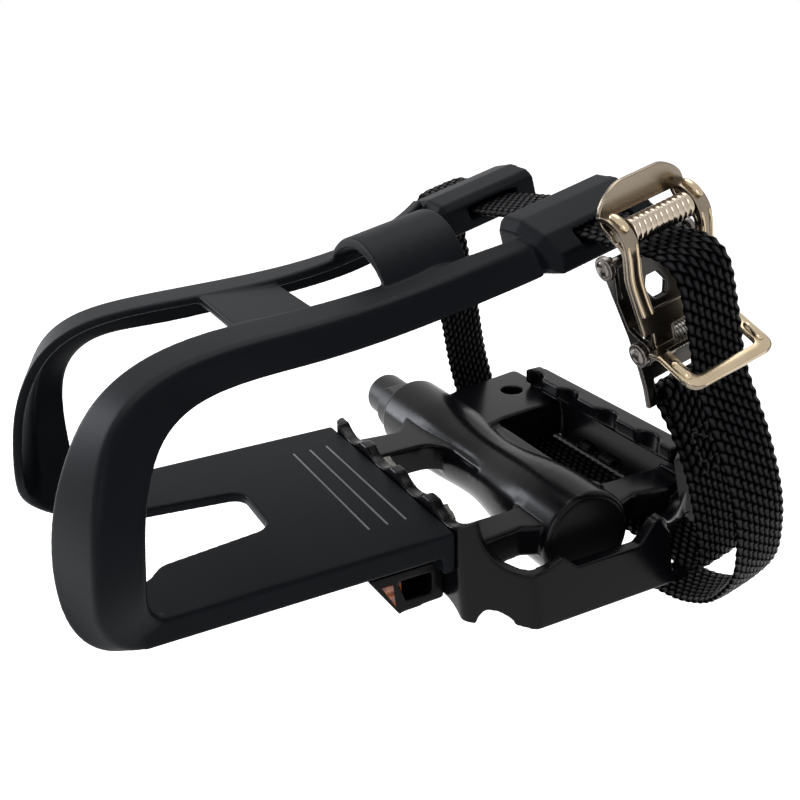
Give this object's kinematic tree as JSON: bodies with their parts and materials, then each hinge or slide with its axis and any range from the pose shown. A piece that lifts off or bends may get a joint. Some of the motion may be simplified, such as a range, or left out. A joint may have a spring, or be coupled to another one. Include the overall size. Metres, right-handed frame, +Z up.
{
  "type": "toe clip pedal",
  "caption": "Cast cage pedal on a threaded spindle, with a moulded toe clip, woven strap and quick-release buckle that hold the front of a shoe.",
  "frame": {"origin": "on the spindle axis, at the shoulder that meets the crank", "axes": "+X forward to the toe, +Y outboard along the spindle, +Z up with the toe clip on top"},
  "size_m": [0.1888, 0.1543, 0.1227],
  "materials": {
    "cast_black": "gloss",
    "clip_black": "satin",
    "strap_black": "woven",
    "nickel": "satin",
    "gunmetal": "satin",
    "steel": "satin",
    "dark_steel": "satin",
    "housing_black": "gloss",
    "amber": "gloss",
    "seal_rubber": "matte"
  },
  "bodies": {
    "spindle": {"spindle": "dark_steel", "inboard_balls": "steel", "outboard_balls": "steel", "outboard_cone": "steel", "lock_washer": "steel", "lock_nut": "steel"},
    "pedal": {"pedal_body": "cast_black", "inboard_cup": "steel", "outboard_cup": "steel", "inboard_seal": "seal_rubber", "dust_cap": "housing_black", "toe_clip": "clip_black", "clip_bolts": "steel", "clip_washers": "steel", "clip_nuts": "steel", "front_reflector_housing": "housing_black", "front_reflector_lens": "amber", "rear_reflector_housing": "housing_black", "rear_reflector_lens": "amber", "toe_strap": "strap_black", "buckle_frame": "gunmetal", "lever_pin": "gunmetal", "lever_bush": "steel", "lever_spring": "steel", "anvil_pin": "gunmetal"},
    "lever": {"buckle_lever": "nickel", "roller_pin": "nickel"},
    "roller": {"strap_roller": "steel"}
  },
  "joints": [
    {"name": "pedal_spin", "type": "hinge", "parent": "spindle", "child": "pedal", "pos_m": [0, 0, 0], "axis": [0, 1, 0], "continuous": true},
    {"name": "lever_release", "type": "hinge", "parent": "pedal", "child": "lever", "pos_m": [-0.0108, 0.1212, 0.05874], "axis": [-0.9677, 0, 0.2521], "range_deg": [0, 10], "stiffness_Nm_per_rad": 0.08, "springref_deg": -11.46},
    {"name": "roller_spin", "type": "hinge", "parent": "lever", "child": "roller", "pos_m": [-0.00372, 0.1194, 0.08593], "axis": [0.9677, 0, -0.2521], "continuous": true}
  ]
}
